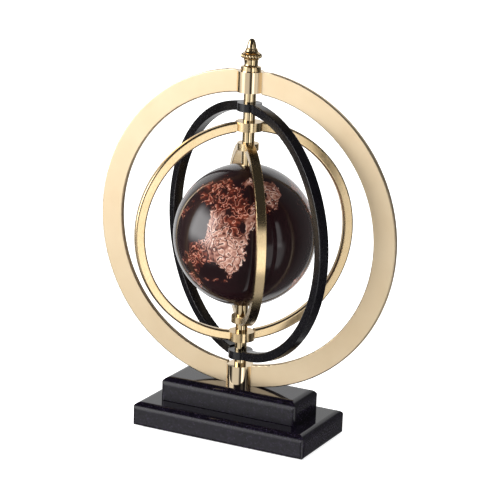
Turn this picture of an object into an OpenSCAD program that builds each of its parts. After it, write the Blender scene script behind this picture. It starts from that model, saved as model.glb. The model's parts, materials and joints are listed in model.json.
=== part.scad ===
// Desktop globe: a lacquered ball and three nested rings that each turn on one upright
// tie rod, inside a large fixed ring that is clamped to a two-tier stone plinth.
// Millimetres, +Z up, origin on the resting surface under the middle of the plinth.

/* [Plinth] */
// Length of the lower slab
lower_l = 171.5; // [150:0.5:240]
// Depth of the lower slab
lower_d = 86.5; // [72:0.5:130]
// Height of the lower slab
lower_h = 21.6; // [18:0.1:40]
// Radius along the top edges of the lower slab
lower_round = 6.4; // [1:0.1:9]
// Radius along the bottom edges of the lower slab
lower_foot_round = 2.5; // [0.5:0.5:4]
// Length of the upper slab
upper_l = 135.5; // [80:0.5:145]
// Depth of the upper slab
upper_d = 47.5; // [36:0.5:70]
// Height of the upper slab
upper_h = 21.9; // [16:0.1:40]
// Radius along the top edges of the upper slab
upper_round = 7.4; // [1:0.1:11]
// Radius of the upright corners of both slabs
corner_round = 3.5; // [0.5:0.1:5]
// Thickness of the felt under the lower slab
felt_t = 1.2; // [0.8:0.1:3]
// How far the felt stays inside the slab's flat underside
felt_inset = 2; // [1:0.5:10]
// Radius of the felt's corners
felt_corner_r = 6; // [1:0.5:12]

/* [Tie rod] */
// Radius of the rod that everything is threaded on
rod_r = 3; // [2:0.1:4]
// Outer radius of the spacer tubes
tube_r = 5.4; // [4.6:0.1:7]
// Radius of the pocket for the nut under the lower slab
pocket_r = 9.5; // [9:0.1:12]
// Depth of the pocket
pocket_h = 10; // [9:0.5:12]
// Width of the nut across its flats
nut_af = 10; // [10:0.5:13]
// Thickness of the nut
nut_t = 5; // [3:0.1:6]
// Radius of the plain washer
clamp_washer_r = 8.5; // [7:0.1:8.8]
// Thickness of the plain washer
clamp_washer_t = 1.6; // [1:0.1:2]
// Outer radius of the split spring washer
spring_washer_r = 5.4; // [5:0.1:6.5]
// Thickness of the spring washer
spring_washer_t = 1.6; // [1:0.1:2]
// Width of the split in the spring washer
spring_split = 1; // [0.5:0.1:2]

/* [Spacer tubes, from the globe outwards] */
// Above the globe, up to the inner ring
upper_globe_spacer = 12; // [6:0.1:25]
// Above the inner ring, up to the middle ring
upper_inner_spacer = 10.4; // [5:0.1:20]
// Above the middle ring, up to the black ring
upper_middle_spacer = 8.5; // [5:0.1:20]
// Above the black ring, up to the outer ring
upper_outer_spacer = 9.3; // [5:0.1:20]
// Below the globe, down to the inner ring
lower_globe_spacer = 9.7; // [6:0.1:25]
// Below the inner ring, down to the middle ring
lower_inner_spacer = 7.5; // [5:0.1:20]
// Below the middle ring, down to the black ring
lower_middle_spacer = 8.5; // [5:0.1:20]
// Below the black ring, down to the outer ring
lower_outer_spacer = 5.7; // [5:0.1:20]
// Thickness of the nylon washer under each ring and under the globe
thrust_t = 0.5; // [0.3:0.1:1]

/* [Globe] */
// Radius of the ball
globe_r = 63.5; // [45:0.1:80]
// Wall of the two half shells
globe_wall = 2.6; // [1.5:0.1:5]
// Height of the band that joins the halves inside
band_h = 12; // [6:0.5:20]
// Wall of the joining band
band_wall = 1.6; // [1:0.1:3]
// Radius of each pole bush's flange
bush_flange_r = 6.4; // [6:0.1:9]
// Thickness of each pole bush's flange
bush_flange_t = 0.8; // [0.5:0.1:2]
// Radius of each pole bush's body, through the shell
bush_r = 4.6; // [4.2:0.1:5.5]
// Length of each pole bush's body
bush_l = 9; // [5:0.5:15]
// Turn of the globe about the rod
globe_turn = 0; // [-180:1:180]

/* [Inner ring] */
// Bar, measured along the ring's radius
inner_bar = 7.2; // [4:0.1:12]
// Width of the bar, across the ring's plane
inner_w = 8.5; // [4:0.1:14]
// Radius of the round bosses that the rod passes through
inner_boss_r = 9.5; // [7:0.1:14]
// Angle about the rod from the plinth's length
inner_turn = -53; // [-180:1:180]

/* [Middle ring] */
// Bar, measured along the ring's radius
middle_bar = 9.1; // [4:0.1:14]
// Width of the bar, across the ring's plane
middle_w = 7.2; // [4:0.1:14]
// Radius of the round bosses
middle_boss_r = 12; // [7:0.1:16]
// Angle about the rod from the plinth's length
middle_turn = 42.5; // [-180:0.5:180]

/* [Black ring] */
// Bar, measured along the ring's radius
black_bar = 8.4; // [4:0.1:14]
// Width of the bar, across the ring's plane
black_w = 9.6; // [4:0.1:14]
// Radius of the round bosses
black_boss_r = 11; // [7:0.1:16]
// Angle about the rod from the plinth's length
black_turn = -28; // [-180:0.5:180]

/* [Outer ring] */
// Bar, measured along the ring's radius
outer_bar = 20.7; // [12:0.1:30]
// Thickness of the plate that the ring is cut from
outer_w = 5; // [4:0.1:10]
// Radius of the round bosses
outer_boss_r = 12; // [8:0.1:18]
// How deep the flats at the top and the foot are cut into the ring
outer_flat = 1.6; // [0.5:0.1:3]
// How far the ring was turned on the plinth when it was clamped
outer_turn = 1.2; // [-4:0.1:4]

/* [Edges of the rings] */
// Radius along the edges of the outer ring
outer_edge = 1; // [0.3:0.1:1.8]
// Radius along the edges of the black ring
black_edge = 0.8; // [0.3:0.1:1.8]
// Radius along the edges of the middle ring, which are worn softer than the others
middle_edge = 1.8; // [0.3:0.1:1.9]
// Radius along the edges of the inner ring
inner_edge = 0.6; // [0.3:0.1:1.8]
// Depth of the flats on the three inner rings
ring_flat = 0.4; // [0.3:0.1:1]
// Depth of the spot face that the rod's tube meets, inside each ring
spot_depth = 0.7; // [0.3:0.1:1.5]
// How far each spot face is wider than its boss, on the radius
spot_margin = 0.3; // [0.1:0.1:1]

/* [Finial] */
// Radius of the plain disc at the foot of the finial
check_r = 9; // [8:0.1:12]
// Thickness of that disc
check_t = 3.7; // [2:0.1:6]
// Radius of the waist
waist_r = 6; // [5.5:0.1:7]
// Height of the waist
waist_h = 6.8; // [5:0.1:12]
// Radius of the fillet at the foot of the waist
waist_fillet = 1.8; // [0.5:0.1:2]
// Radius to the outside of the beaded roll
roll_r = 9.3; // [8:0.1:12]
// Radius of the roll's own round section
roll_section_r = 2.7; // [1.5:0.1:3]
// Height of the hollow roof over the roll
roof_h = 2.4; // [1.5:0.1:4]
// Radius of the small collar over the roof
collar_r = 5.3; // [4.5:0.1:6]
// Height of the collar
collar_h = 1.3; // [1:0.1:3]
// Radius at the foot of the bullet-shaped tip
tip_base_r = 4.2; // [3.6:0.1:5]
// Radius of the curve of the tip's flanks
tip_flank_r = 16; // [12:0.5:30]
// Radius of the tip's round end
tip_end_r = 2.9; // [2:0.1:3.3]

/* [Clearances] */
// Between the rod and what turns on it, on the radius
run_clear = 0.08; // [0.02:0.01:0.1]
// Between the rod and what is bonded to it, on the radius
bond_clear = 0.02; // [0.01:0.01:0.05]
// Between the faces of a turning piece and the fixed pieces over and under it
face_gap = 0.15; // [0.1:0.05:0.3]
// Between the rod and the holes in the slabs, on the radius
slab_clear = 0.5; // [0.2:0.1:1]
// Between the joining band and the shells, and the bushes and the shells
shell_clear = 0.05; // [0.02:0.01:0.1]

/* [Hidden] */
$fn = 96;
through = 1; // how far a cutter runs past the face it opens

bond_r = rod_r + bond_clear;
run_r = rod_r + run_clear;
slab_hole_r = rod_r + slab_clear;

// What lies between two turning pieces, besides the tube itself
joint_stack = face_gap + thrust_t + face_gap;

// Heights over and under the globe's centre. Each ring takes its size from what is inside it.
pole_flat = sqrt(globe_r * globe_r - bush_flange_r * bush_flange_r);
globe_seat = pole_flat + bush_flange_t;

inner_top_in = globe_seat + joint_stack + upper_globe_spacer;
inner_low_in = globe_seat + joint_stack + lower_globe_spacer;
inner_seat_r = (inner_top_in + inner_low_in) / 2;
inner_rise = (inner_top_in - inner_low_in) / 2;
inner_ri = inner_seat_r - spot_depth;
inner_out = inner_ri + inner_bar - ring_flat;

middle_top_in = inner_rise + inner_out + joint_stack + upper_inner_spacer;
middle_low_in = inner_out - inner_rise + joint_stack + lower_inner_spacer;
middle_seat_r = (middle_top_in + middle_low_in) / 2;
middle_rise = (middle_top_in - middle_low_in) / 2;
middle_ri = middle_seat_r - spot_depth;
middle_out = middle_ri + middle_bar - ring_flat;

black_top_in = middle_rise + middle_out + joint_stack + upper_middle_spacer;
black_low_in = middle_out - middle_rise + joint_stack + lower_middle_spacer;
black_seat_r = (black_top_in + black_low_in) / 2;
black_rise = (black_top_in - black_low_in) / 2;
black_ri = black_seat_r - spot_depth;
black_out = black_ri + black_bar - ring_flat;

outer_top_in = black_rise + black_out + face_gap + upper_outer_spacer;
outer_low_in = black_out - black_rise + face_gap + thrust_t + lower_outer_spacer;
outer_seat_r = (outer_top_in + outer_low_in) / 2;
outer_rise = (outer_top_in - outer_low_in) / 2;
outer_ri = outer_seat_r - spot_depth;
outer_out = outer_ri + outer_bar - outer_flat;

// Heights from the resting surface
lower_top = felt_t + lower_h;
plinth_top = lower_top + upper_h;
outer_z = plinth_top + outer_out;
globe_z = outer_z - outer_rise;
black_z = globe_z + black_rise;
middle_z = globe_z + middle_rise;
inner_z = globe_z + inner_rise;
outer_top = outer_z + outer_out;

nut_top = felt_t + pocket_h - clamp_washer_t - spring_washer_t;
rod_foot = nut_top - nut_t - 0.6;
finial_bore_h = check_t + waist_h + 2 * roll_section_r;
rod_top = outer_top + finial_bore_h - 1;
tip_centre = sqrt(pow(tip_flank_r - tip_end_r, 2) - pow(tip_flank_r - tip_base_r, 2));
roll_z = waist_h + roll_section_r;
roof_z = waist_h + 2 * roll_section_r;
collar_z = roof_z + roof_h;
tip_z = collar_z + collar_h;

// ---- shapes shared by several pieces ----

// Rectangle centred on X with its foot on Y = 0, rounded at the top and the bottom corners
module end_outline(w, h, top_r, foot_r) {
    difference() {
        translate([-w / 2, 0]) square([w, h]);
        for (side = [-1, 1]) {
            translate([side * (w / 2 - top_r), h - top_r]) outside_corner(side, 1, top_r);
            translate([side * (w / 2 - foot_r), foot_r]) outside_corner(side, -1, foot_r);
        }
    }
}

// What a corner of radius r loses when it is rounded
module outside_corner(side_x, side_y, r) {
    flip_x = side_x > 0 ? 0 : 1;
    flip_y = side_y > 0 ? 0 : 1;
    mirror([flip_x, 0]) mirror([0, flip_y]) difference() {
        square([r + through, r + through]);
        circle(r = r);
    }
}

// Slab with rounded edges all round and rounded upright corners
module slab(l, d, h, top_r, foot_r) {
    intersection() {
        rotate([90, 0, 0]) linear_extrude(d, center = true) end_outline(l, h, top_r, foot_r);
        rotate([90, 0, 90]) linear_extrude(l, center = true) end_outline(d, h, top_r, foot_r);
        linear_extrude(h) translate([0, -d / 2]) end_outline(l, d, corner_round, corner_round);
    }
}

module tube(outer, inner, h) {
    difference() {
        cylinder(r = outer, h = h);
        translate([0, 0, -through]) cylinder(r = inner, h = h + 2 * through);
    }
}

// Section of a ring's bar, with its edges rounded
module bar_section(bar, w, edge) {
    difference() {
        translate([0, -w / 2]) square([bar, w]);
        for (side = [-1, 1]) {
            translate([edge, side * (w / 2 - edge)]) outside_corner(-1, side, edge);
            translate([bar - edge, side * (w / 2 - edge)]) outside_corner(1, side, edge);
        }
    }
}

// Ring standing on edge, with a bored round boss at the top and at the foot. Outside, the
// bosses and the bar are trimmed flat together. Inside, a shallow spot face meets the tube.
module hoop(ri, bar, w, edge, boss_r, flat, seat_r, bore_r) {
    out = ri + bar - flat;
    boss_h = out - seat_r + 3 * through;
    difference() {
        intersection() {
            union() {
                rotate([90, 0, 0]) rotate_extrude($fn = 180) translate([ri, 0])
                    bar_section(bar, w, edge);
                for (end = [0, 180]) rotate([end, 0, 0])
                    translate([0, 0, seat_r - 2 * through]) cylinder(r = boss_r, h = boss_h);
            }
            cube([4 * out, 4 * boss_r, 2 * out], center = true);
        }
        for (end = [0, 180]) rotate([end, 0, 0]) {
            translate([0, 0, seat_r - through]) cylinder(r = bore_r, h = bar + 2 * through);
            translate([0, 0, seat_r - 4 * through])
                cylinder(r = boss_r + spot_margin, h = 4 * through);
        }
    }
}

// Half of the ball, the northern one, with the seat of a pole bush
module half_shell() {
    difference() {
        sphere(r = globe_r, $fn = 180);
        sphere(r = globe_r - globe_wall, $fn = 180);
        translate([0, 0, -globe_r]) cube(2 * globe_r, center = true);
        cylinder(r = bush_r + shell_clear, h = 2 * globe_r);
        translate([0, 0, pole_flat]) cylinder(r = 2 * bush_flange_r, h = globe_r);
    }
}

// ---- the plinth and what clamps it ----

module felt_base() {
    l = lower_l - 2 * (lower_foot_round + felt_inset);
    d = lower_d - 2 * (lower_foot_round + felt_inset);
    color("#17151a") linear_extrude(felt_t) union() {
        square([l - 2 * felt_corner_r, d], center = true);
        square([l, d - 2 * felt_corner_r], center = true);
        for (x = [-1, 1], y = [-1, 1])
            translate([x * (l / 2 - felt_corner_r), y * (d / 2 - felt_corner_r)])
                circle(r = felt_corner_r);
    }
}

module lower_plinth() {
    color("#221f26") translate([0, 0, felt_t]) difference() {
        slab(lower_l, lower_d, lower_h, lower_round, lower_foot_round);
        translate([0, 0, -through]) cylinder(r = slab_hole_r, h = lower_h + 2 * through);
        translate([0, 0, -through]) cylinder(r = pocket_r, h = pocket_h + through);
    }
}

module upper_plinth() {
    color("#2a272f") translate([0, 0, lower_top]) difference() {
        slab(upper_l, upper_d, upper_h, upper_round, 0.5);
        translate([0, 0, -through]) cylinder(r = slab_hole_r, h = upper_h + 2 * through);
    }
}

module clamp_washer() {
    color("#b9bcc0") translate([0, 0, nut_top + spring_washer_t])
        tube(clamp_washer_r, slab_hole_r, clamp_washer_t);
}

module spring_washer() {
    color("#8e9196") translate([0, 0, nut_top]) difference() {
        tube(spring_washer_r, slab_hole_r, spring_washer_t);
        translate([0, -spring_split / 2, -through])
            cube([2 * spring_washer_r, spring_split, spring_washer_t + 2 * through]);
    }
}

module clamp_nut() {
    color("#c4c6c9") translate([0, 0, nut_top - nut_t]) difference() {
        cylinder(r = nut_af / sqrt(3), h = nut_t, $fn = 6);
        translate([0, 0, -through]) cylinder(r = bond_r, h = nut_t + 2 * through);
    }
}

module tie_rod() {
    color("#b0b3b8") translate([0, 0, rod_foot]) cylinder(r = rod_r, h = rod_top - rod_foot);
}

// ---- the fixed ring and the finial ----

module outer_ring() {
    color("#dcc29a") translate([0, 0, outer_z]) rotate([0, 0, outer_turn])
        hoop(outer_ri, outer_bar, outer_w, outer_edge, outer_boss_r, outer_flat,
            outer_seat_r, bond_r);
}

module finial_check_ring() {
    color("#d8ba8a") translate([0, 0, outer_top]) tube(check_r, bond_r, check_t);
}

module finial() {
    color("#caa06a") translate([0, 0, outer_top + check_t]) difference() {
        rotate_extrude() finial_outline();
        translate([0, 0, -through]) cylinder(r = bond_r, h = finial_bore_h - check_t + through);
    }
}

// Half outline of the finial: filleted waist, roll, hollow roof, collar and bullet tip
module finial_outline() {
    square([waist_r, roof_z]);
    difference() {
        square([waist_r + waist_fillet, waist_fillet]);
        translate([waist_r + waist_fillet, waist_fillet]) circle(r = waist_fillet);
    }
    translate([0, waist_h]) square([roll_r - roll_section_r, 2 * roll_section_r]);
    translate([roll_r - roll_section_r, roll_z]) circle(r = roll_section_r);
    difference() {
        translate([0, roof_z]) square([roll_r - roll_section_r, roof_h]);
        translate([collar_r + roof_h, collar_z]) circle(r = roof_h);
    }
    translate([0, collar_z]) square([collar_r - collar_h / 2, collar_h]);
    translate([collar_r - collar_h / 2, collar_z + collar_h / 2]) circle(r = collar_h / 2);
    translate([0, tip_z]) tip_outline();
}

// Flanks of one large radius that run into a round end
module tip_outline() {
    lean = atan(tip_centre / (tip_flank_r - tip_base_r));
    intersection() {
        translate([tip_base_r - tip_flank_r, 0]) circle(r = tip_flank_r, $fn = 180);
        square([tip_base_r, tip_flank_r * sin(lean)]);
    }
    intersection() {
        translate([0, tip_centre]) circle(r = tip_end_r);
        square([tip_end_r, tip_centre + tip_end_r]);
    }
}

// ---- the tubes and washers on the rod ----

module fixed_tube(z, h) {
    color("#d3b07a") translate([0, 0, z]) tube(tube_r, bond_r, h);
}

module upper_outer_tube() {
    fixed_tube(black_z + black_out + face_gap, upper_outer_spacer);
}

module upper_middle_tube() {
    fixed_tube(middle_z + middle_out + face_gap, upper_middle_spacer);
}

module upper_inner_tube() {
    fixed_tube(inner_z + inner_out + face_gap, upper_inner_spacer);
}

module upper_globe_tube() {
    fixed_tube(globe_z + globe_seat + face_gap, upper_globe_spacer);
}

module lower_globe_tube() {
    fixed_tube(inner_z - inner_seat_r + face_gap, lower_globe_spacer);
}

module lower_inner_tube() {
    fixed_tube(middle_z - middle_seat_r + face_gap, lower_inner_spacer);
}

module lower_middle_tube() {
    fixed_tube(black_z - black_seat_r + face_gap, lower_middle_spacer);
}

module lower_outer_tube() {
    fixed_tube(outer_z - outer_seat_r, lower_outer_spacer);
}

// Washer whose top is face_gap under a turning face at height z
module thrust_washer(z) {
    color("#efe9dc") translate([0, 0, z - face_gap - thrust_t]) tube(tube_r, bond_r, thrust_t);
}

module black_ring_washers() {
    thrust_washer(black_z + black_seat_r);
    thrust_washer(black_z - black_out);
}

module middle_ring_washers() {
    thrust_washer(middle_z + middle_seat_r);
    thrust_washer(middle_z - middle_out);
}

module inner_ring_washers() {
    thrust_washer(inner_z + inner_seat_r);
    thrust_washer(inner_z - inner_out);
}

module globe_washer() {
    thrust_washer(globe_z - globe_seat);
}

// ---- the turning rings ----

module black_ring() {
    color("#15131a") translate([0, 0, black_z]) rotate([0, 0, black_turn])
        hoop(black_ri, black_bar, black_w, black_edge, black_boss_r, ring_flat,
            black_seat_r, run_r);
}

module middle_ring() {
    color("#cfae7e") translate([0, 0, middle_z]) rotate([0, 0, middle_turn])
        hoop(middle_ri, middle_bar, middle_w, middle_edge, middle_boss_r, ring_flat,
            middle_seat_r, run_r);
}

module inner_ring() {
    color("#c39c66") translate([0, 0, inner_z]) rotate([0, 0, inner_turn])
        hoop(inner_ri, inner_bar, inner_w, inner_edge, inner_boss_r, ring_flat,
            inner_seat_r, run_r);
}

// ---- the globe ----

module globe_north() {
    color("#4a1f18") translate([0, 0, globe_z]) rotate([0, 0, globe_turn]) half_shell();
}

module globe_south() {
    color("#3a1714") translate([0, 0, globe_z]) rotate([0, 0, globe_turn])
        rotate([180, 0, 0]) half_shell();
}

module globe_joining_band() {
    wall_r = globe_r - globe_wall;
    band_r = sqrt(wall_r * wall_r - band_h * band_h / 4) - shell_clear;
    color("#c9b48c") translate([0, 0, globe_z - band_h / 2])
        tube(band_r, band_r - band_wall, band_h);
}

module globe_bushes() {
    color("#c8a564") translate([0, 0, globe_z]) for (end = [0, 180]) rotate([end, 0, 0])
        difference() {
            union() {
                translate([0, 0, pole_flat]) cylinder(r = bush_flange_r, h = bush_flange_t);
                translate([0, 0, pole_flat - bush_l]) cylinder(r = bush_r, h = bush_l);
            }
            translate([0, 0, pole_flat - bush_l - through])
                cylinder(r = run_r, h = bush_l + bush_flange_t + 2 * through);
        }
}

felt_base();
lower_plinth();
upper_plinth();
clamp_washer();
spring_washer();
clamp_nut();
tie_rod();
outer_ring();
finial_check_ring();
finial();
upper_outer_tube();
upper_middle_tube();
upper_inner_tube();
upper_globe_tube();
lower_globe_tube();
lower_inner_tube();
lower_middle_tube();
lower_outer_tube();
black_ring_washers();
middle_ring_washers();
inner_ring_washers();
globe_washer();
black_ring();
middle_ring();
inner_ring();
globe_north();
globe_south();
globe_joining_band();
globe_bushes();
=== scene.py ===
import json
import math
import random
import bmesh
import bpy
from mathutils import Matrix, Vector, noise

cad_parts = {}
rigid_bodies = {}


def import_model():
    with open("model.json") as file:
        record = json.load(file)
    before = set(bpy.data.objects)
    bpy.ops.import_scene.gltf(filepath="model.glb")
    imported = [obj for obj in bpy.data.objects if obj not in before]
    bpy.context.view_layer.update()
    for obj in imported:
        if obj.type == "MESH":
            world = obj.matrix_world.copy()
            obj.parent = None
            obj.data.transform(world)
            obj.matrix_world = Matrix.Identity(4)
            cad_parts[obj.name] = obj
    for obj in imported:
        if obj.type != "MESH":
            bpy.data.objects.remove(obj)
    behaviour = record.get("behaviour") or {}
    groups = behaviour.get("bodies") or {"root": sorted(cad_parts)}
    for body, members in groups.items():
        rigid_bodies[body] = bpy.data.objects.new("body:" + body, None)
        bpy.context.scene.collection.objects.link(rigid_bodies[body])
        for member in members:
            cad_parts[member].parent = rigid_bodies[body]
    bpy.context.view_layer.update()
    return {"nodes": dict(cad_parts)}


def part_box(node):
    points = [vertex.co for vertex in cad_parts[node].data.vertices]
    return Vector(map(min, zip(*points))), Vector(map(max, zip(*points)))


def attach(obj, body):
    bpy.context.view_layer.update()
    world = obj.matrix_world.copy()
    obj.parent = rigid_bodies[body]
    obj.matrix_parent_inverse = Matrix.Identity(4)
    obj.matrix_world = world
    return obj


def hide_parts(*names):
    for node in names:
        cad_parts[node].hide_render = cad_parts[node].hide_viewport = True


# A desktop globe. A dark lacquered ball and three nested rings turn on one upright rod, inside a
# large fixed brass ring on a two-tier stone plinth. Sizes are in millimetres until a mesh is placed.

for left in list(bpy.data.objects):  # what a new Blender file starts with
    bpy.data.objects.remove(left)
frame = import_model()
mm = 0.001


# ---- small tools ----

def linear(code):  # an sRGB hex colour as the linear values that shaders work in
    parts = [int(code[i:i + 2], 16) / 255 for i in (1, 3, 5)]
    return [p / 12.92 if p <= 0.04045 else ((p + 0.055) / 1.055) ** 2.4 for p in parts] + [1]


def add(tree, kind, links=None, stops=(), **settings):  # a node with its settings and links
    made = tree.nodes.new("ShaderNode" + kind)
    for name, value in settings.items():
        setattr(made, name, value)
    for name, value in (links or {}).items():
        if isinstance(value, bpy.types.NodeSocket):
            tree.links.new(value, made.inputs[name])
        else:
            made.inputs[name].default_value = value
    for index, (position, code) in enumerate(stops):
        elements = made.color_ramp.elements
        element = elements[index] if index < 2 else elements.new(position)
        element.position, element.color = position, linear(code)
    return next((socket for socket in made.outputs if socket.enabled), None)


def startMaterial(name):  # an empty material, and where a point lies in the frame
    material = bpy.data.materials.new(name)
    material.use_nodes = True
    tree = material.node_tree
    tree.nodes.clear()
    return material, tree, add(tree, "TexCoord").node.outputs["Object"]


def paint(name, material):  # the material goes into the slots of a CAD node
    for each in frame["nodes"][name].material_slots:
        each.material = material


# ---- camera ----

cameraLook = {
    "azimuth": 26.46,     # degrees round from the front
    "elevation": 14.81,   # degrees above the table
    "roll": 2.15,         # degrees, the top leans to the left
    "distance": 1800,     # from the point that it looks at
    "aimHeight": 168.9,   # of that point
    "aimRight": 5.05,     # of that point, beside the rod
    "lens": 146.23,        # focal length on a 36 mm sensor
}


def makeCamera():
    turn, lift, roll = (math.radians(cameraLook[k]) for k in ("azimuth", "elevation", "roll"))
    back = Vector((math.sin(turn) * math.cos(lift), -math.cos(turn) * math.cos(lift), math.sin(lift)))
    right = Vector((math.cos(turn), math.sin(turn), 0))
    up = back.cross(right)
    aim = Vector((0, 0, cameraLook["aimHeight"])) + right * cameraLook["aimRight"]
    tilted = Matrix((right * math.cos(roll) + up * math.sin(roll),
                     up * math.cos(roll) - right * math.sin(roll), back)).transposed()
    lens = bpy.data.cameras.new("camera")
    lens.lens = cameraLook["lens"]
    lens.sensor_width = 36
    lens.clip_start, lens.clip_end = 0.05, 50
    camera = bpy.data.objects.new("camera", lens)
    bpy.context.scene.collection.objects.link(camera)
    place = (aim + back * cameraLook["distance"]) * mm
    camera.matrix_world = Matrix.Translation(place) @ tilted.to_4x4()
    bpy.context.scene.camera = camera


makeCamera()
print("camera placed")


# ---- studio ----

# What the polished surfaces mirror. Each panel has its sides as degrees round from the camera,
# to the right, its foot and top as degrees above the horizon, how soft its edges are, and its light.
studio = {
    "background": 0.04,
    "topLight": 1.7,          # a broad soft lamp overhead
    "frontLight": 0.65,       # a second soft lamp, from the camera's left
    "floor": ("#f7f6f5", "#fbfaf9"),
    "floorGlow": 0.9,         # light from under the paper, as on a lit product table
    "panels": [
        ("floor in front, left", -70, -7, -34, -4, 8, 0.74),
        ("floor in front, right", 18, 66, -38, -4, 5, 0.75),
        ("left softbox", -99, -52, -6, 30, 9, 5.0),
        ("left softbox, foot", -80, -46, -14, 0, 5, 0.4),
        ("right strip", 52, 61, -8, 27, 3, 1.1),
        ("right card", 13, 32, -34, 17, 3, 1.3),
        ("floor strip, right", 12, 40, -95, -38, 5, 0.6),
        ("backdrop, left", -200, -142, -95, 36, 8, 0.85),
        ("backdrop, right", 142, 200, -95, 36, 8, 0.85),
        ("left side wall", -140, -104, -60, 50, 8, 0.03),
        ("right side wall", 98, 140, -60, 50, 12, 0.1),
    ],
}


def makeStudio():
    world = bpy.data.worlds.new("studio")
    bpy.context.scene.world = world
    world.use_nodes = True
    tree = world.node_tree
    tree.nodes.clear()
    # in the world, Generated is the direction that a ray looks in
    towards = add(tree, "Mapping", {
        "Vector": add(tree, "TexCoord"),
        "Rotation": (0, 0, -math.radians(cameraLook["azimuth"])),
    }, vector_type="POINT")
    x, y, z = add(tree, "SeparateXYZ", {0: towards}).node.outputs
    behind = add(tree, "Math", {0: y, 1: -1.0}, operation="MULTIPLY")
    turn = add(tree, "Math", {0: x, 1: behind}, operation="ARCTAN2")
    turn = add(tree, "Math", {0: turn}, operation="DEGREES")
    lift = add(tree, "Math", {0: add(tree, "Math", {0: z}, operation="ARCSINE")}, operation="DEGREES")
    light = studio["background"]
    for name, left, right, foot, top, soft, strength in studio["panels"]:
        panel = strength
        for angle, dark, lit in ((turn, left - soft, left + soft), (turn, right + soft, right - soft),
                                 (lift, foot - soft, foot + soft), (lift, top + soft, top - soft)):
            edge = add(tree, "MapRange", {0: angle, 1: dark, 2: lit}, interpolation_type="SMOOTHSTEP")
            panel = add(tree, "Math", {0: edge, 1: panel}, operation="MULTIPLY")
        light = add(tree, "Math", {0: panel, 1: light}, operation="ADD")
    seen = add(tree, "Background", {"Color": (1, 1, 1, 1), "Strength": light})
    white = add(tree, "Background", {"Color": (1, 1, 1, 1), "Strength": 1.0})
    both = add(tree, "MixShader", {0: add(tree, "LightPath"), 1: seen, 2: white})
    add(tree, "OutputWorld", {"Surface": both})

    for name, strength, lean, turnTo in (("topLamp", "topLight", 12, 0), ("frontLamp", "frontLight", 62, -30)):
        lamp = bpy.data.lights.new(name, "SUN")
        lamp.energy = studio[strength]
        lamp.angle = math.radians(60)
        hung = bpy.data.objects.new(name, lamp)
        hung.rotation_euler = (math.radians(lean), 0, math.radians(turnTo))
        hung.visible_glossy = False
        bpy.context.scene.collection.objects.link(hung)

    shape = bmesh.new()
    bmesh.ops.create_circle(shape, cap_ends=True, segments=96, radius=9)
    mesh = bpy.data.meshes.new("floor")
    shape.to_mesh(mesh)
    shape.free()
    floor = bpy.data.objects.new("floor", mesh)
    bpy.context.scene.collection.objects.link(floor)
    floor.visible_glossy = False  # the panels above light the reflections instead
    material, tree, place = startMaterial("pale matt paper, seamless")
    # paper: a faint cloudiness that stays white in full light
    cloud = add(tree, "TexNoise", {"Vector": place, "Scale": 3.0, "Detail": 2.0})
    tint = add(tree, "ValToRGB", {0: cloud}, stops=[(0.3, studio["floor"][0]), (0.7, studio["floor"][1])])
    paper = add(tree, "BsdfPrincipled", {
        "Base Color": tint, "Roughness": 0.9, "Specular IOR Level": 0.0,
        "Emission Color": (1, 1, 1, 1), "Emission Strength": studio["floorGlow"]})
    add(tree, "OutputMaterial", {"Surface": paper})
    mesh.materials.append(material)
    bpy.context.scene.view_settings.view_transform = "Standard"


makeStudio()
print("studio lit")


# ---- metals ----

brassLook = {
    "satin": ("#e9d4b2", "#e3cca8"),     # lacquered brass of the broad ring, in two near tints
    "bright": ("#e5d0aa", "#d4b98b"),    # polished brass of the tubes and the finial
    "soft": ("#e2caa2", "#d6bc90"),      # the inner rings, tumbled smooth
    "turnedLine": 0.9,                   # spacing of the lathe's lines, drawn coarser than the real 0.2
    "patch": 40,                         # size of the patches where the tint wanders
    "hairline": 0.7,                     # spacing of the tumbled rings' scratches
}


def satinBrass():
    # lacquered brass plate, face-turned on a lathe: broad soft reflections with faint rings in them
    material, tree, place = startMaterial("satin brass, face-turned")
    low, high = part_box("outer_ring")
    centred = add(tree, "Mapping", {"Vector": place, "Location": (0, 0, -(low.z + high.z) / 2)})
    x, y, z = add(tree, "SeparateXYZ", {0: centred}).node.outputs
    outward = add(tree, "VectorMath", {0: add(tree, "CombineXYZ", {0: x, 2: z})}, operation="LENGTH")
    lines = add(tree, "TexNoise", {"W": outward, "Scale": 1000 / brassLook["turnedLine"], "Detail": 3.0},
                noise_dimensions="1D")
    # the bosses are round about the rod, and polished
    fromRod = add(tree, "VectorMath", {0: add(tree, "CombineXYZ", {0: x, 1: y})}, operation="LENGTH")
    plain = add(tree, "MapRange", {0: fromRod, 1: 12.1 * mm, 2: 12.3 * mm})
    cloud = add(tree, "TexNoise", {"Vector": place, "Scale": 1000 / brassLook["patch"], "Detail": 3.0})
    tint = add(tree, "ValToRGB", {0: cloud}, stops=[(0.3, brassLook["satin"][0]), (0.7, brassLook["satin"][1])])
    handled = add(tree, "TexNoise", {"Vector": place, "Scale": 1000 / 9, "Detail": 4.0})
    smear = add(tree, "MapRange", {0: handled, 1: 0.3, 2: 0.7, 3: 0.19, 4: 0.25})
    smear = add(tree, "Math", {0: lines, 1: 0.05, 2: smear}, operation="MULTIPLY_ADD")
    rough = add(tree, "Math", {0: smear, 1: plain, 2: 0.08}, operation="MULTIPLY_ADD")
    ridges = add(tree, "Math", {0: lines, 1: plain}, operation="MULTIPLY")
    bump = add(tree, "Bump", {"Height": ridges, "Distance": 0.02 * mm, "Strength": 0.5})
    metal = add(tree, "BsdfPrincipled", {
        "Base Color": tint, "Metallic": 1.0, "Roughness": rough, "Normal": bump})
    add(tree, "OutputMaterial", {"Surface": metal})
    return material


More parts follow.
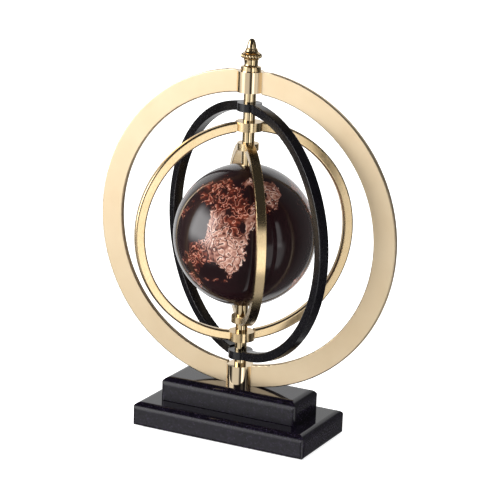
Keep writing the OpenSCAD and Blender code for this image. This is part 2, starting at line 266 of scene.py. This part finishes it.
def brightBrass():
    # polished and lacquered brass: mirror bands, a little orange where the buff left it thin
    material, tree, place = startMaterial("bright brass, buffed")
    cloud = add(tree, "TexNoise", {"Vector": place, "Scale": 1000 / 7, "Detail": 3.0})
    tint = add(tree, "ValToRGB", {0: cloud}, stops=[(0.3, brassLook["bright"][0]), (0.75, brassLook["bright"][1])])
    smear = add(tree, "TexNoise", {"Vector": place, "Scale": 1000 / 3, "Detail": 3.0})
    rough = add(tree, "MapRange", {0: smear, 1: 0.3, 2: 0.75, 3: 0.07, 4: 0.15})
    waves = add(tree, "TexNoise", {"Vector": place, "Scale": 1000 / 2.5, "Detail": 2.0})
    bump = add(tree, "Bump", {"Height": waves, "Distance": 0.015 * mm, "Strength": 0.35})
    metal = add(tree, "BsdfPrincipled", {
        "Base Color": tint, "Metallic": 1.0, "Roughness": rough, "Normal": bump})
    add(tree, "OutputMaterial", {"Surface": metal})
    return material


def softBrass():
    # brass bar rolled into a ring and tumbled: satin with long faint hairlines
    material, tree, place = startMaterial("soft brass, tumbled")
    cloud = add(tree, "TexNoise", {"Vector": place, "Scale": 1000 / 26, "Detail": 3.0})
    tint = add(tree, "ValToRGB", {0: cloud}, stops=[(0.3, brassLook["soft"][0]), (0.7, brassLook["soft"][1])])
    drawnOut = add(tree, "Mapping", {"Vector": place, "Scale": (1, 1, 0.25)})
    hair = add(tree, "TexNoise", {"Vector": drawnOut, "Scale": 1000 / brassLook["hairline"], "Detail": 3.0})
    rough = add(tree, "MapRange", {0: hair, 1: 0.3, 2: 0.7, 3: 0.17, 4: 0.27})
    bump = add(tree, "Bump", {"Height": hair, "Distance": 0.012 * mm, "Strength": 0.4})
    metal = add(tree, "BsdfPrincipled", {
        "Base Color": tint, "Metallic": 1.0, "Roughness": rough, "Normal": bump})
    add(tree, "OutputMaterial", {"Surface": metal})
    return material


def zincSteel():
    # bright zinc-plated steel, with the spangle that passivating leaves
    material, tree, place = startMaterial("zinc-plated steel")
    spangle = add(tree, "TexVoronoi", {"Vector": place, "Scale": 1000 / 1.5})
    tint = add(tree, "ValToRGB", {0: spangle}, stops=[(0.0, "#aeb2b6"), (1.0, "#c9cccf")])
    smear = add(tree, "TexNoise", {"Vector": place, "Scale": 1000 / 0.8, "Detail": 3.0})
    rough = add(tree, "MapRange", {0: smear, 1: 0.3, 2: 0.7, 3: 0.25, 4: 0.4})
    bump = add(tree, "Bump", {"Height": spangle, "Distance": 0.02 * mm, "Strength": 0.3})
    metal = add(tree, "BsdfPrincipled", {
        "Base Color": tint, "Metallic": 1.0, "Roughness": rough, "Normal": bump})
    add(tree, "OutputMaterial", {"Surface": metal})
    return material


# ---- enamel, stone, felt and nylon ----

darkLook = {
    "enamel": ("#060508", "#0c0a10"),
    "stone": ("#07050b", "#130e1b", "#262030"),   # ground, mottle, fleck
    "stoneGrain": 1.1,                            # crystals, drawn coarser than the real 0.4
    "felt": ("#0e0d11", "#1d1b22"),
    "feltFibre": 0.5,
    "nylon": ("#ebe5d6", "#d9d2c0"),
}


def blackEnamel():
    # stoved gloss enamel on steel: black and wet-looking, with a slight orange peel
    material, tree, place = startMaterial("black stoving enamel")
    cloud = add(tree, "TexNoise", {"Vector": place, "Scale": 1000 / 14, "Detail": 3.0})
    tint = add(tree, "ValToRGB", {0: cloud}, stops=[(0.3, darkLook["enamel"][0]), (0.7, darkLook["enamel"][1])])
    peel = add(tree, "TexNoise", {"Vector": place, "Scale": 1000 / 2.2, "Detail": 1.0})
    rough = add(tree, "MapRange", {0: peel, 1: 0.3, 2: 0.7, 3: 0.18, 4: 0.28})
    bump = add(tree, "Bump", {"Height": peel, "Distance": 0.02 * mm, "Strength": 0.35})
    enamel = add(tree, "BsdfPrincipled", {
        "Base Color": tint, "Roughness": rough, "IOR": 1.5, "Normal": bump,
        "Coat Weight": 0.15, "Coat Roughness": 0.08, "Coat IOR": 1.5, "Coat Normal": bump})
    add(tree, "OutputMaterial", {"Surface": enamel})
    return material


def blackStone():
    # black granite: honed on its long faces, polished like a mirror on top and at the ends
    material, tree, place = startMaterial("black granite, honed and polished")
    size = darkLook["stoneGrain"]
    mottle = add(tree, "TexNoise", {"Vector": place, "Scale": 1000 / (3.5 * size), "Detail": 4.0, "Roughness": 0.65})
    ground = add(tree, "ValToRGB", {0: mottle}, stops=[(0.35, darkLook["stone"][0]), (0.7, darkLook["stone"][1])])
    crystals = add(tree, "TexVoronoi", {"Vector": place, "Scale": 1000 / size, "Randomness": 1.0})
    spark = add(tree, "SeparateColor", {0: crystals.node.outputs["Color"]})
    spark = add(tree, "MapRange", {0: spark, 1: 0.84, 2: 0.98})
    flecked = add(tree, "Mix", {0: spark, 6: ground, 7: linear(darkLook["stone"][2])}, data_type="RGBA")
    facing = add(tree, "TexCoord").node.outputs["Normal"]
    across = add(tree, "SeparateXYZ", {0: facing}).node.outputs["Y"]
    long = add(tree, "MapRange", {0: add(tree, "Math", {0: across}, operation="ABSOLUTE"), 1: 0.75, 2: 0.97},
               interpolation_type="SMOOTHSTEP")
    rough = add(tree, "Math", {0: long, 1: 0.2, 2: 0.05}, operation="MULTIPLY_ADD")
    rough = add(tree, "Math", {0: mottle, 1: 0.07, 2: rough}, operation="MULTIPLY_ADD")
    pits = add(tree, "TexNoise", {"Vector": place, "Scale": 1000 / (0.9 * size), "Detail": 3.0})
    pits = add(tree, "Math", {0: pits, 1: long}, operation="MULTIPLY")
    bump = add(tree, "Bump", {"Height": pits, "Distance": 0.03 * mm, "Strength": 0.35})
    stone = add(tree, "BsdfPrincipled", {
        "Base Color": flecked, "Roughness": rough, "IOR": 1.44, "Normal": bump})
    add(tree, "OutputMaterial", {"Surface": stone})
    return material


def felt():
    # pressed wool felt: no gloss, a fuzzy light edge, lumps of matted fibre
    material, tree, place = startMaterial("wool felt, pressed")
    fibre = add(tree, "TexNoise", {
        "Vector": place, "Scale": 1000 / darkLook["feltFibre"], "Detail": 4.0, "Roughness": 0.7})
    tint = add(tree, "ValToRGB", {0: fibre}, stops=[(0.3, darkLook["felt"][0]), (0.75, darkLook["felt"][1])])
    bump = add(tree, "Bump", {"Height": fibre, "Distance": 0.15 * mm, "Strength": 0.8})
    wool = add(tree, "BsdfPrincipled", {
        "Base Color": tint, "Roughness": 0.95, "Normal": bump, "Specular IOR Level": 0.2,
        "Sheen Weight": 0.5, "Sheen Roughness": 0.5})
    add(tree, "OutputMaterial", {"Surface": wool})
    return material


def nylon():
    # natural nylon, turned from rod: milky, with fine tool rings
    material, tree, place = startMaterial("natural nylon, turned")
    cloud = add(tree, "TexNoise", {"Vector": place, "Scale": 1000 / 2, "Detail": 2.0})
    tint = add(tree, "ValToRGB", {0: cloud}, stops=[(0.3, darkLook["nylon"][0]), (0.7, darkLook["nylon"][1])])
    rough = add(tree, "MapRange", {0: cloud, 1: 0.3, 2: 0.7, 3: 0.35, 4: 0.5})
    tooled = add(tree, "TexNoise", {"Vector": place, "Scale": 1000 / 0.4, "Detail": 1.0})
    bump = add(tree, "Bump", {"Height": tooled, "Distance": 0.02 * mm, "Strength": 0.4})
    milky = add(tree, "BsdfPrincipled", {
        "Base Color": tint, "Roughness": rough, "IOR": 1.53, "Normal": bump,
        "Subsurface Weight": 0.15, "Subsurface Scale": 0.001})
    add(tree, "OutputMaterial", {"Surface": milky})
    return material


metals = {"satin": satinBrass(), "bright": brightBrass(), "soft": softBrass(), "zinc": zincSteel()}
darks = {"enamel": blackEnamel(), "stone": blackStone(), "felt": felt(), "nylon": nylon()}
wears = {
    "outer_ring": metals["satin"], "middle_ring": metals["soft"], "inner_ring": metals["soft"],
    "finial_check_ring": metals["bright"], "globe_bushes": metals["bright"],
    "globe_joining_band": metals["soft"], "tie_rod": metals["zinc"], "clamp_nut": metals["zinc"],
    "clamp_washer": metals["zinc"], "spring_washer": metals["zinc"], "black_ring": darks["enamel"],
    "lower_plinth": darks["stone"], "upper_plinth": darks["stone"], "felt_base": darks["felt"],
}
for name in frame["nodes"]:
    if name.endswith("_tube"):
        wears[name] = metals["bright"]
    if name.endswith("_washers") or name == "globe_washer":
        wears[name] = darks["nylon"]
for name, material in wears.items():
    paint(name, material)
print("materials on", len(wears), "CAD nodes")


# ---- finished pieces ----

def finish(name, shape, material, body, replaced=()):  # a bmesh becomes a piece that rides
    mesh = bpy.data.meshes.new(name)
    shape.to_mesh(mesh)
    shape.free()
    mesh.materials.append(material)
    piece = bpy.data.objects.new(name, mesh)
    bpy.context.scene.collection.objects.link(piece)
    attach(piece, body)
    if replaced:
        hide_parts(*replaced)
    return piece


def spinOutline(shape, points, steps, closed=False):  # (radius, height) points turned about the rod
    corners = [shape.verts.new((r, 0, z)) for r, z in points]
    edges = [shape.edges.new(pair) for pair in zip(corners, corners[1:])]
    if closed:
        edges.append(shape.edges.new((corners[-1], corners[0])))
    bmesh.ops.spin(shape, geom=corners + edges, axis=(0, 0, 1), cent=(0, 0, 0), steps=steps,
                   angle=2 * math.pi, use_merge=True, use_duplicate=False)
    bmesh.ops.remove_doubles(shape, verts=shape.verts, dist=1e-4)


def arc(cx, cz, radius, start, end, count):  # points on an arc, with the angles in degrees
    turns = [math.radians(start + (end - start) * i / count) for i in range(count + 1)]
    return [(cx + radius * math.cos(t), cz + radius * math.sin(t)) for t in turns]


def smoothUnder(shape, degrees):  # faces shade smooth, and edges sharper than this stay crisp
    for face in shape.faces:
        face.smooth = True
    for edge in shape.edges:
        edge.smooth = len(edge.link_faces) == 2 and edge.calc_face_angle(0) < math.radians(degrees)


# ---- finial ----

finialLook = {
    "steps": 96,
    "footRound": 0.4,      # the edge where the waist's flare meets the disc
    "waistR": 6.0,
    "waistH": 6.8,
    "flare": 1.8,
    "rollR": 7.6,          # the roll behind the beads
    "rollH": 5.4,
    "beads": 20,
    "beadR": 1.2,
    "beadTall": 1.6,       # a bead's height over its width
    "beadOut": 8.1,        # from the rod to the middle of a bead
    "roofH": 2.4,
    "collarR": 5.3,
    "collarH": 1.3,
    "tipR": 4.2,
    "tipFlank": 16.0,
    "tipEnd": 2.9,
}


def makeFinial():
    look = finialLook
    low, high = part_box("finial")
    rollZ = look["waistH"] + look["rollH"] / 2
    roofZ = look["waistH"] + look["rollH"]
    collarZ = roofZ + look["roofH"]
    tipZ = collarZ + look["collarH"]
    reach = look["tipFlank"] - look["tipR"]
    endZ = tipZ + math.sqrt((look["tipFlank"] - look["tipEnd"]) ** 2 - reach ** 2)
    lean = math.degrees(math.atan2(endZ - tipZ, reach))
    half = look["rollH"] / 2
    outline = [(0, 0)]
    outline += [(look["waistR"] + look["flare"], 0)]
    outline += arc(look["waistR"] + look["flare"], look["flare"] + 0.3, look["flare"], 270, 180, 8)[0:]
    # a fine fillet, the roll, another fillet
    outline += arc(look["waistR"] + 0.35, look["waistH"] - 0.35, 0.45, -90, 80, 6)
    outline += arc(look["rollR"] - half + 0.6, rollZ, half - 0.35, -75, 75, 12)
    outline += arc(look["collarR"] + look["roofH"] + 0.15, collarZ + 0.15, look["roofH"], 262, 186, 10)
    outline += arc(look["collarR"] - look["collarH"] / 2, collarZ + look["collarH"] / 2,
                   look["collarH"] / 2, -80, 80, 8)
    outline += arc(look["tipR"] - look["tipFlank"], tipZ, look["tipFlank"], 1.0, lean, 14)
    outline += arc(0, endZ, look["tipEnd"], lean, 90, 12)
    outline = [(max(r, 0.0), z) for r, z in outline]
    shape = bmesh.new()
    spinOutline(shape, outline, look["steps"])
    bmesh.ops.recalc_face_normals(shape, faces=shape.faces)
    smoothUnder(shape, 40)
    for i in range(look["beads"]):
        turn = Matrix.Rotation(2 * math.pi * i / look["beads"], 4, "Z")
        at = turn @ Matrix.Translation((look["beadOut"], 0, rollZ)) @ Matrix.Diagonal((1, 1, look["beadTall"], 1))
        made = bmesh.ops.create_uvsphere(shape, u_segments=14, v_segments=9, radius=look["beadR"], matrix=at)
        for face in {f for v in made["verts"] for f in v.link_faces}:
            face.smooth = True
    bmesh.ops.scale(shape, vec=(mm, mm, mm), verts=shape.verts)
    bmesh.ops.translate(shape, vec=(0, 0, low.z), verts=shape.verts)
    return finish("turned_finial", shape, metals["bright"], "stand", ["finial"])


makeFinial()
print("finial turned")


# ---- globe ----

globeLook = {
    "steps": 288,
    "arcPoints": 150,
    "wall": 2.6,
    "boreR": 4.65,           # where a pole bush goes in
    "flangeR": 6.4,
    "swirls": [(18, 12), (5, 2.4)],      # size and reach of each swirl
    "contour": 9,                        # size of the hills whose contours are drawn
    "levels": 7.0,                       # how many contours from the lowest to the highest
    "rust": [(0.0, "#1d0a09"), (0.3, "#3a140e"), (0.55, "#60281b"), (0.76, "#86402e"), (0.86, "#d9a08a"),
             (0.93, "#6f2a1a"), (1.0, "#1d0a09")],
    "rock": [(0.0, "#2b1311"), (0.12, "#5e2f27"), (0.28, "#8f5c4e"), (0.6, "#ad7f6e"), (0.84, "#cda492"),
             (0.93, "#ecd1c3"), (1.0, "#3a1a15")],
    "hollow": "#200c0b",
    "speck": "#7c3d2b",
    "sea": ("#17070a", "#210c10"),
    "seed": 4,
}

# The lands of the map, each a few round patches: longitude from the front, latitude, radius in
# degrees, and how much pale rock shows there. A negative radius cuts a bay.
lands = [
    # the great land, from the north-west down to the south
    (-28, 44, 8.5, 0.0), (-18, 46, 9.8, 0.0), (-8, 46, 11, 0.0), (2, 47, 11, 0.0), (-8, 55, 7.3, 0.0),
    (-22, 51, 7.3, 0.0), (12, 42, 11, 0.1), (20, 34, 8.5, 0.1), (8, 34, 11, 0.35), (18, 26, 9.8, 0.1),
    (0, 26, 9.8, 0.75), (10, 24, 8.5, 0.5), (20, 16, 8.5, 0.2), (1, 16, 8.5, 0.8), (10, 12, 11, 0.85),
    (20, 6, 9.8, 0.75), (4, 5, 9.8, 0.8), (13, -1, 11, 1.0), (22, -3, 6.1, 0.9), (15, -8, 7.3, 0.9),
    (5, -8, 9.8, 0.5), (-6, -3, 8.5, 0.4), (-16, -4, 7.3, 0.1), (-12, -12, 9.8, 0.1), (-22, -14, 8.5, 0.1),
    (-27, -23, 7.3, 0.1), (-24, -30, 6.1, 0.2), (-20, -36, 4.9, 0.2), (-3, -14, 6.1, 0.3), (18, -14, 4.3, 0.6),
    (16, -20, 3.7, 0.4), (9, -26, 3.7, 0.3), (1, -29, 3, 0.3), (-8, -29, 3, 0.3), (-34, 28, 4.9, 0.0),
    (-38, 20, 4.3, 0.0), (4, -21, -5.7, 0.0), (-5, -23, -4.8, 0.0), (-16, 17, -9.5, 0.0), (25, 20, -3.3, 0.0),
    # the long pale island beside it
    (30, 20, 4.4, 1.0), (31, 25, 4.6, 1.0), (33, 31, 4.6, 1.0), (37, 37, 3.9, 0.8), (29, 13, 3.7, 0.7),
    (27, 7, 2.9, 0.4),
    # the northern point
    (34, 57, 4.9, 0.7), (46, 57, 6.1, 0.7), (55, 54, 7.3, 0.8), (60, 50, 6.1, 0.9), (57, 44, 6.1, 0.9),
    (54, 38, 4.9, 0.6), (50, 33, 3.7, 0.3), (64, 55, 4.9, 0.4), (62, 42, 3.7, 0.4),
    # round the back
    (118, 34, 20, 0.3), (136, 22, 16, 0.6), (124, 12, 12, 0.8), (142, 44, 14, 0.1), (108, 46, 10, 0.1),
    (150, 4, 9, 0.5), (160, -16, 12, 0.7), (150, -28, 10, 0.3), (172, -8, 7, 0.8),
    (206, 40, 16, 0.2), (226, 30, 15, 0.6), (216, 16, 12, 0.8), (240, 44, 10, 0.1), (232, 4, 9, 0.4),
    (246, -14, 13, 0.7), (258, -26, 10, 0.3), (268, -6, 7, 0.7), (284, 30, 9, 0.3), (292, 38, 7, 0.6),
    (88, -34, 9, 0.4), (98, -28, 6, 0.6), (300, -30, 7, 0.3),
]


def onGlobe(longitude, latitude):  # a unit vector; longitude 0 faces the front of the plinth
    lon, lat = math.radians(longitude), math.radians(latitude)
    return Vector((math.sin(lon) * math.cos(lat), -math.cos(lon) * math.cos(lat), math.sin(lat)))


def globeLacquer(centreZ):
    # a printed map under clear lacquer: deep brown sea, rust land that pales to rose, with fine
    # swirled contours as in burr walnut, all seen through one glassy coat
    material, tree, place = startMaterial("map globe under clear lacquer")
    land = add(tree, "Attribute", attribute_name="land").node.outputs["Fac"]
    pale = add(tree, "Attribute", attribute_name="pale").node.outputs["Fac"]
    centred = add(tree, "Mapping", {"Vector": place, "Location": (0, 0, -centreZ)})
    # two sizes of swirl bend everything that is drawn
    swirled = centred
    for size, reach in globeLook["swirls"]:
        bend = add(tree, "TexNoise", {"Vector": swirled, "Scale": 1000 / size, "Detail": 2.0}).node.outputs["Color"]
        bend = add(tree, "VectorMath", {0: bend, 1: (0.5, 0.5, 0.5)}, operation="SUBTRACT")
        bend = add(tree, "VectorMath", {0: bend, 1: (reach * mm,) * 3}, operation="MULTIPLY")
        swirled = add(tree, "VectorMath", {0: swirled, 1: bend}, operation="ADD")
    # the coast: the smooth field in the mesh, broken up by noise
    ragged = add(tree, "TexNoise", {"Vector": swirled, "Scale": 1000 / 5, "Detail": 6.0, "Roughness": 0.62})
    ragged = add(tree, "Math", {0: ragged, 1: 0.5}, operation="SUBTRACT")
    shore = add(tree, "Math", {0: ragged, 1: 1.9, 2: land}, operation="MULTIPLY_ADD")
    isLand = add(tree, "MapRange", {0: shore, 1: 0.44, 2: 0.56}, interpolation_type="SMOOTHSTEP")
    # the contours: how far a point is between two levels of a swirled height
    height = add(tree, "TexNoise", {"Vector": swirled, "Scale": 1000 / globeLook["contour"], "Detail": 2.5,
                                    "Roughness": 0.5})
    step = add(tree, "Math", {0: height, 1: globeLook["levels"]}, operation="MULTIPLY")
    step = add(tree, "Math", {0: step}, operation="FRACT")
    rust = add(tree, "ValToRGB", {0: step}, stops=globeLook["rust"])
    rock = add(tree, "ValToRGB", {0: step}, stops=globeLook["rock"])
    wander = add(tree, "TexNoise", {"Vector": centred, "Scale": 1000 / 7, "Detail": 4.0})
    share = add(tree, "Math", {0: wander, 1: 0.9, 2: pale}, operation="MULTIPLY_ADD")
    share = add(tree, "MapRange", {0: share, 1: 0.75, 2: 1.25}, interpolation_type="SMOOTHSTEP")
    body = add(tree, "Mix", {0: share, 6: rust, 7: rock}, data_type="RGBA")
    # hollows where the print stays dark, more of them where the land is not pale
    hollow = add(tree, "TexNoise", {"Vector": swirled, "Scale": 1000 / 10, "Detail": 5.0, "Roughness": 0.6})
    hollow = add(tree, "Math", {0: pale, 1: 0.2, 2: hollow}, operation="MULTIPLY_ADD")
    hollow = add(tree, "MapRange", {0: hollow, 1: 0.5, 2: 0.42}, interpolation_type="SMOOTHSTEP")
    body = add(tree, "Mix", {0: hollow, 6: body, 7: linear(globeLook["hollow"])}, data_type="RGBA")
    deep = add(tree, "TexNoise", {"Vector": centred, "Scale": 1000 / 30, "Detail": 3.0})
    sea = add(tree, "ValToRGB", {0: deep}, stops=[(0.3, globeLook["sea"][0]), (0.7, globeLook["sea"][1])])
    # stray specks out at sea, near the shore
    speck = add(tree, "TexNoise", {"Vector": swirled, "Scale": 1000 / 2.2, "Detail": 3.0})
    speck = add(tree, "MapRange", {0: speck, 1: 0.66, 2: 0.72})
    near = add(tree, "MapRange", {0: land, 1: 0.05, 2: 0.35})
    speck = add(tree, "Math", {0: speck, 1: near}, operation="MULTIPLY")
    sea = add(tree, "Mix", {0: speck, 6: sea, 7: linear(globeLook["speck"])}, data_type="RGBA")
    printed = add(tree, "Mix", {0: isLand, 6: sea, 7: body}, data_type="RGBA")
    bump = add(tree, "Bump", {"Height": isLand, "Distance": 0.04 * mm, "Strength": 0.3})
    waves = add(tree, "TexNoise", {"Vector": centred, "Scale": 1000 / 14, "Detail": 1.0})
    gloss = add(tree, "Bump", {"Height": waves, "Distance": 0.02 * mm, "Strength": 0.25})
    lacquer = add(tree, "BsdfPrincipled", {
        "Base Color": printed, "Roughness": 0.5, "IOR": 1.45, "Specular IOR Level": 0.15, "Normal": bump,
        "Coat Weight": 1.0, "Coat Roughness": 0.03, "Coat IOR": 1.52, "Coat Normal": gloss})
    add(tree, "OutputMaterial", {"Surface": lacquer})
    return material


def makeGlobe():
    look = globeLook
    low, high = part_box("globe_north")
    radius = (high.x - low.x) / 2 / mm
    centreZ = low.z
    flatZ = math.sqrt(radius ** 2 - look["flangeR"] ** 2)
    inner = radius - look["wall"]
    lift = math.degrees(math.asin(flatZ / radius))
    innerLift = math.degrees(math.acos(look["boreR"] / inner))
    outline = [(look["boreR"], -flatZ)]
    outline += arc(0, 0, radius, -lift, lift, look["arcPoints"])
    outline += [(look["boreR"], flatZ)]
    outline += arc(0, 0, inner, innerLift, -innerLift, 40)
    shape = bmesh.new()
    spinOutline(shape, outline, look["steps"], closed=True)
    bmesh.ops.recalc_face_normals(shape, faces=shape.faces)
    smoothUnder(shape, 30)
    patches = [(onGlobe(lon, lat), math.radians(abs(size)), size > 0, pale) for lon, lat, size, pale in lands]
    landLayer = shape.verts.layers.float.new("land")
    paleLayer = shape.verts.layers.float.new("pale")
    random.seed(look["seed"])
    drift = Vector([random.uniform(-50, 50) for i in range(3)])
    for corner in shape.verts:
        way = corner.co.normalized()
        wander = noise.noise_vector(way * 4 + drift) * 0.10 + noise.noise_vector(way * 11 + drift) * 0.05
        at = (way + wander).normalized()
        cover, cut, tone, weight = 0.0, 0.0, 0.0, 1e-6
        for centre, size, raised, pale in patches:
            near = math.exp(-(at.angle(centre) / size) ** 2)
            if raised:
                cover = max(cover, near) + 0.25 * min(cover, near)
                tone += near * pale
                weight += near
            else:
                cut = max(cut, near)
        corner[landLayer] = min(cover, 1.3) - 1.2 * cut
        corner[paleLayer] = tone / weight
    bmesh.ops.scale(shape, vec=(mm, mm, mm), verts=shape.verts)
    bmesh.ops.translate(shape, vec=(0, 0, centreZ), verts=shape.verts)
    material = globeLacquer(centreZ)
    return finish("lacquered_globe", shape, material, "globe_body", ["globe_north", "globe_south"])


makeGlobe()
print("globe lacquered")
